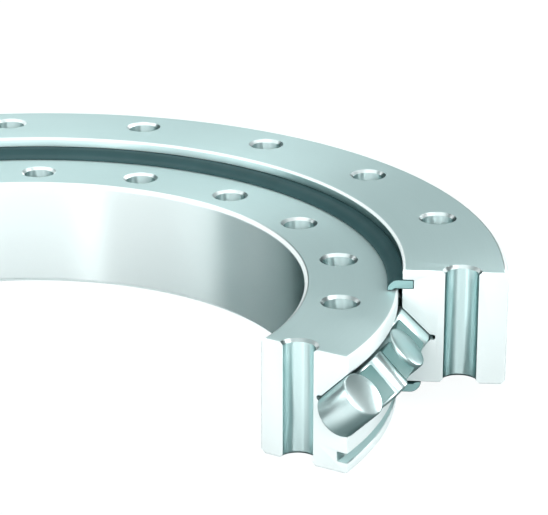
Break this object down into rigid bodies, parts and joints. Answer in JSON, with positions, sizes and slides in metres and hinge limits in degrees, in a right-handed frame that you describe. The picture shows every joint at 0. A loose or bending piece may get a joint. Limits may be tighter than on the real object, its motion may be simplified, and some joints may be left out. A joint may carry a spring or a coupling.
{
  "type": "crossed roller bearing",
  "caption": "Sectioned crossed roller bearing: two stepped steel rings with bolt holes, rollers crossed at right angles between plastic spacers, and lip seals top and bottom.",
  "frame": {"origin": "on the bearing axis, in the plane of the inner ring's bottom face", "axes": "+Z along the bearing axis towards the outer ring's raised face; -Y through the middle of the outer ring's opening"},
  "size_m": [0.2, 0.1828, 0.028],
  "materials": {
    "ring_steel": "finely ground, with turned faces",
    "roller_steel": "superfinished",
    "spacer_plastic": "satin moulded",
    "seal_rubber": "satin rubber",
    "plug_steel": "turned and ground with the ring",
    "pin_steel": "ground"
  },
  "bodies": {
    "inner_ring_body": {"inner_ring": "ring_steel", "lower_seal": "seal_rubber"},
    "outer_ring_body": {"outer_ring": "ring_steel", "upper_seal": "seal_rubber", "filler_plug": "plug_steel", "lock_pin": "pin_steel"},
    "roller_train": {"spacers": "spacer_plastic"},
    "roller_01_body": {"roller_01": "roller_steel"},
    "roller_02_body": {"roller_02": "roller_steel"},
    "roller_03_body": {"roller_03": "roller_steel"},
    "roller_04_body": {"roller_04": "roller_steel"},
    "roller_05_body": {"roller_05": "roller_steel"},
    "roller_06_body": {"roller_06": "roller_steel"},
    "roller_07_body": {"roller_07": "roller_steel"},
    "roller_08_body": {"roller_08": "roller_steel"},
    "roller_09_body": {"roller_09": "roller_steel"},
    "roller_10_body": {"roller_10": "roller_steel"},
    "roller_11_body": {"roller_11": "roller_steel"},
    "roller_12_body": {"roller_12": "roller_steel"},
    "roller_13_body": {"roller_13": "roller_steel"},
    "roller_14_body": {"roller_14": "roller_steel"},
    "roller_15_body": {"roller_15": "roller_steel"},
    "roller_16_body": {"roller_16": "roller_steel"},
    "roller_17_body": {"roller_17": "roller_steel"},
    "roller_18_body": {"roller_18": "roller_steel"},
    "roller_19_body": {"roller_19": "roller_steel"},
    "roller_20_body": {"roller_20": "roller_steel"},
    "roller_21_body": {"roller_21": "roller_steel"},
    "roller_22_body": {"roller_22": "roller_steel"},
    "roller_23_body": {"roller_23": "roller_steel"},
    "roller_24_body": {"roller_24": "roller_steel"},
    "roller_25_body": {"roller_25": "roller_steel"},
    "roller_26_body": {"roller_26": "roller_steel"},
    "roller_27_body": {"roller_27": "roller_steel"},
    "roller_28_body": {"roller_28": "roller_steel"},
    "roller_29_body": {"roller_29": "roller_steel"},
    "roller_30_body": {"roller_30": "roller_steel"},
    "roller_31_body": {"roller_31": "roller_steel"},
    "roller_32_body": {"roller_32": "roller_steel"},
    "roller_33_body": {"roller_33": "roller_steel"},
    "roller_34_body": {"roller_34": "roller_steel"},
    "roller_35_body": {"roller_35": "roller_steel"},
    "roller_36_body": {"roller_36": "roller_steel"}
  },
  "joints": [
    {"name": "outer_ring_turn", "type": "hinge", "parent": "inner_ring_body", "child": "outer_ring_body", "pos_m": [0, 0, 0.014], "axis": [0, 0, 1], "continuous": true},
    {"name": "roller_train_turn", "type": "hinge", "parent": "inner_ring_body", "child": "roller_train", "pos_m": [0, 0, 0.014], "axis": [0, 0, 1], "continuous": true},
    {"name": "roller_01_spin", "type": "hinge", "parent": "roller_train", "child": "roller_01_body", "pos_m": [0.01949, -0.07656, 0.014], "axis": [0.1745, -0.6852, 0.7071], "continuous": true},
    {"name": "roller_02_spin", "type": "hinge", "parent": "roller_train", "child": "roller_02_body", "pos_m": [0.03069, -0.0728, 0.014], "axis": [-0.2747, 0.6516, 0.7071], "continuous": true},
    {"name": "roller_03_spin", "type": "hinge", "parent": "roller_train", "child": "roller_03_body", "pos_m": [0.04119, -0.06741, 0.014], "axis": [0.3687, -0.6034, 0.7071], "continuous": true},
    {"name": "roller_04_spin", "type": "hinge", "parent": "roller_train", "child": "roller_04_body", "pos_m": [0.05078, -0.06052, 0.014], "axis": [-0.4545, 0.5417, 0.7071], "continuous": true},
    {"name": "roller_05_spin", "type": "hinge", "parent": "roller_train", "child": "roller_05_body", "pos_m": [0.05923, -0.05227, 0.014], "axis": [0.5302, -0.4679, 0.7071], "continuous": true},
    {"name": "roller_06_spin", "type": "hinge", "parent": "roller_train", "child": "roller_06_body", "pos_m": [0.06636, -0.04286, 0.014], "axis": [-0.594, 0.3836, 0.7071], "continuous": true},
    {"name": "roller_07_spin", "type": "hinge", "parent": "roller_train", "child": "roller_07_body", "pos_m": [0.07201, -0.03249, 0.014], "axis": [0.6445, -0.2908, 0.7071], "continuous": true},
    {"name": "roller_08_spin", "type": "hinge", "parent": "roller_train", "child": "roller_08_body", "pos_m": [0.07605, -0.0214, 0.014], "axis": [-0.6807, 0.1915, 0.7071], "continuous": true},
    {"name": "roller_09_spin", "type": "hinge", "parent": "roller_train", "child": "roller_09_body", "pos_m": [0.07839, -0.00982, 0.014], "axis": [0.7016, -0.0879, 0.7071], "continuous": true},
    {"name": "roller_10_spin", "type": "hinge", "parent": "roller_train", "child": "roller_10_body", "pos_m": [0.07898, 0.00197, 0.014], "axis": [-0.7069, -0.0176, 0.7071], "continuous": true},
    {"name": "roller_11_spin", "type": "hinge", "parent": "roller_train", "child": "roller_11_body", "pos_m": [0.0778, 0.01372, 0.014], "axis": [0.6964, 0.1228, 0.7071], "continuous": true},
    {"name": "roller_12_spin", "type": "hinge", "parent": "roller_train", "child": "roller_12_body", "pos_m": [0.07489, 0.02516, 0.014], "axis": [-0.6703, -0.2252, 0.7071], "continuous": true},
    {"name": "roller_13_spin", "type": "hinge", "parent": "roller_train", "child": "roller_13_body", "pos_m": [0.0703, 0.03604, 0.014], "axis": [0.6292, 0.3226, 0.7071], "continuous": true},
    {"name": "roller_14_spin", "type": "hinge", "parent": "roller_train", "child": "roller_14_body", "pos_m": [0.06414, 0.04612, 0.014], "axis": [-0.5741, -0.4128, 0.7071], "continuous": true},
    {"name": "roller_15_spin", "type": "hinge", "parent": "roller_train", "child": "roller_15_body", "pos_m": [0.05655, 0.05516, 0.014], "axis": [0.5062, 0.4937, 0.7071], "continuous": true},
    {"name": "roller_16_spin", "type": "hinge", "parent": "roller_train", "child": "roller_16_body", "pos_m": [0.0477, 0.06297, 0.014], "axis": [-0.427, -0.5637, 0.7071], "continuous": true},
    {"name": "roller_17_spin", "type": "hinge", "parent": "roller_train", "child": "roller_17_body", "pos_m": [0.03778, 0.06938, 0.014], "axis": [0.3382, 0.621, 0.7071], "continuous": true},
    {"name": "roller_18_spin", "type": "hinge", "parent": "roller_train", "child": "roller_18_body", "pos_m": [0.02702, 0.07424, 0.014], "axis": [-0.2418, -0.6645, 0.7071], "continuous": true},
    {"name": "roller_19_spin", "type": "hinge", "parent": "roller_train", "child": "roller_19_body", "pos_m": [0.01565, 0.07743, 0.014], "axis": [0.1401, 0.6931, 0.7071], "continuous": true},
    {"name": "roller_20_spin", "type": "hinge", "parent": "roller_train", "child": "roller_20_body", "pos_m": [0.00394, 0.0789, 0.014], "axis": [-0.0352, -0.7062, 0.7071], "continuous": true},
    {"name": "roller_21_spin", "type": "hinge", "parent": "roller_train", "child": "roller_21_body", "pos_m": [-0.00787, 0.07861, 0.014], "axis": [-0.0704, 0.7036, 0.7071], "continuous": true},
    {"name": "roller_22_spin", "type": "hinge", "parent": "roller_train", "child": "roller_22_body", "pos_m": [-0.01949, 0.07656, 0.014], "axis": [0.1745, -0.6852, 0.7071], "continuous": true},
    {"name": "roller_23_spin", "type": "hinge", "parent": "roller_train", "child": "roller_23_body", "pos_m": [-0.03069, 0.0728, 0.014], "axis": [-0.2747, 0.6516, 0.7071], "continuous": true},
    {"name": "roller_24_spin", "type": "hinge", "parent": "roller_train", "child": "roller_24_body", "pos_m": [-0.04119, 0.06741, 0.014], "axis": [0.3687, -0.6034, 0.7071], "continuous": true},
    {"name": "roller_25_spin", "type": "hinge", "parent": "roller_train", "child": "roller_25_body", "pos_m": [-0.05078, 0.06052, 0.014], "axis": [-0.4545, 0.5417, 0.7071], "continuous": true},
    {"name": "roller_26_spin", "type": "hinge", "parent": "roller_train", "child": "roller_26_body", "pos_m": [-0.05923, 0.05227, 0.014], "axis": [0.5302, -0.4679, 0.7071], "continuous": true},
    {"name": "roller_27_spin", "type": "hinge", "parent": "roller_train", "child": "roller_27_body", "pos_m": [-0.06636, 0.04286, 0.014], "axis": [-0.594, 0.3836, 0.7071], "continuous": true},
    {"name": "roller_28_spin", "type": "hinge", "parent": "roller_train", "child": "roller_28_body", "pos_m": [-0.07201, 0.03249, 0.014], "axis": [0.6445, -0.2908, 0.7071], "continuous": true},
    {"name": "roller_29_spin", "type": "hinge", "parent": "roller_train", "child": "roller_29_body", "pos_m": [-0.07605, 0.0214, 0.014], "axis": [-0.6807, 0.1915, 0.7071], "continuous": true},
    {"name": "roller_30_spin", "type": "hinge", "parent": "roller_train", "child": "roller_30_body", "pos_m": [-0.07839, 0.00982, 0.014], "axis": [0.7016, -0.0879, 0.7071], "continuous": true},
    {"name": "roller_31_spin", "type": "hinge", "parent": "roller_train", "child": "roller_31_body", "pos_m": [-0.07898, -0.00197, 0.014], "axis": [-0.7069, -0.0176, 0.7071], "continuous": true},
    {"name": "roller_32_spin", "type": "hinge", "parent": "roller_train", "child": "roller_32_body", "pos_m": [-0.0778, -0.01372, 0.014], "axis": [0.6964, 0.1228, 0.7071], "continuous": true},
    {"name": "roller_33_spin", "type": "hinge", "parent": "roller_train", "child": "roller_33_body", "pos_m": [-0.07489, -0.02516, 0.014], "axis": [-0.6703, -0.2252, 0.7071], "continuous": true},
    {"name": "roller_34_spin", "type": "hinge", "parent": "roller_train", "child": "roller_34_body", "pos_m": [-0.0703, -0.03604, 0.014], "axis": [0.6292, 0.3226, 0.7071], "continuous": true},
    {"name": "roller_35_spin", "type": "hinge", "parent": "roller_train", "child": "roller_35_body", "pos_m": [-0.06414, -0.04612, 0.014], "axis": [-0.5741, -0.4128, 0.7071], "continuous": true},
    {"name": "roller_36_spin", "type": "hinge", "parent": "roller_train", "child": "roller_36_body", "pos_m": [-0.05655, -0.05516, 0.014], "axis": [0.5062, 0.4937, 0.7071], "continuous": true}
  ],
  "couplings": [
    {"joint": "roller_train_turn", "follows": "outer_ring_turn", "ratio": 0.52014},
    {"joint": "roller_01_spin", "follows": "outer_ring_turn", "ratio": 8.7635},
    {"joint": "roller_02_spin", "follows": "outer_ring_turn", "ratio": 8.7635},
    {"joint": "roller_03_spin", "follows": "outer_ring_turn", "ratio": 8.7635},
    {"joint": "roller_04_spin", "follows": "outer_ring_turn", "ratio": 8.7635},
    {"joint": "roller_05_spin", "follows": "outer_ring_turn", "ratio": 8.7635},
    {"joint": "roller_06_spin", "follows": "outer_ring_turn", "ratio": 8.7635},
    {"joint": "roller_07_spin", "follows": "outer_ring_turn", "ratio": 8.7635},
    {"joint": "roller_08_spin", "follows": "outer_ring_turn", "ratio": 8.7635},
    {"joint": "roller_09_spin", "follows": "outer_ring_turn", "ratio": 8.7635},
    {"joint": "roller_10_spin", "follows": "outer_ring_turn", "ratio": 8.7635},
    {"joint": "roller_11_spin", "follows": "outer_ring_turn", "ratio": 8.7635},
    {"joint": "roller_12_spin", "follows": "outer_ring_turn", "ratio": 8.7635},
    {"joint": "roller_13_spin", "follows": "outer_ring_turn", "ratio": 8.7635},
    {"joint": "roller_14_spin", "follows": "outer_ring_turn", "ratio": 8.7635},
    {"joint": "roller_15_spin", "follows": "outer_ring_turn", "ratio": 8.7635},
    {"joint": "roller_16_spin", "follows": "outer_ring_turn", "ratio": 8.7635},
    {"joint": "roller_17_spin", "follows": "outer_ring_turn", "ratio": 8.7635},
    {"joint": "roller_18_spin", "follows": "outer_ring_turn", "ratio": 8.7635},
    {"joint": "roller_19_spin", "follows": "outer_ring_turn", "ratio": 8.7635},
    {"joint": "roller_20_spin", "follows": "outer_ring_turn", "ratio": 8.7635},
    {"joint": "roller_21_spin", "follows": "outer_ring_turn", "ratio": 8.7635},
    {"joint": "roller_22_spin", "follows": "outer_ring_turn", "ratio": 8.7635},
    {"joint": "roller_23_spin", "follows": "outer_ring_turn", "ratio": 8.7635},
    {"joint": "roller_24_spin", "follows": "outer_ring_turn", "ratio": 8.7635},
    {"joint": "roller_25_spin", "follows": "outer_ring_turn", "ratio": 8.7635},
    {"joint": "roller_26_spin", "follows": "outer_ring_turn", "ratio": 8.7635},
    {"joint": "roller_27_spin", "follows": "outer_ring_turn", "ratio": 8.7635},
    {"joint": "roller_28_spin", "follows": "outer_ring_turn", "ratio": 8.7635},
    {"joint": "roller_29_spin", "follows": "outer_ring_turn", "ratio": 8.7635},
    {"joint": "roller_30_spin", "follows": "outer_ring_turn", "ratio": 8.7635},
    {"joint": "roller_31_spin", "follows": "outer_ring_turn", "ratio": 8.7635},
    {"joint": "roller_32_spin", "follows": "outer_ring_turn", "ratio": 8.7635},
    {"joint": "roller_33_spin", "follows": "outer_ring_turn", "ratio": 8.7635},
    {"joint": "roller_34_spin", "follows": "outer_ring_turn", "ratio": 8.7635},
    {"joint": "roller_35_spin", "follows": "outer_ring_turn", "ratio": 8.7635},
    {"joint": "roller_36_spin", "follows": "outer_ring_turn", "ratio": 8.7635}
  ]
}
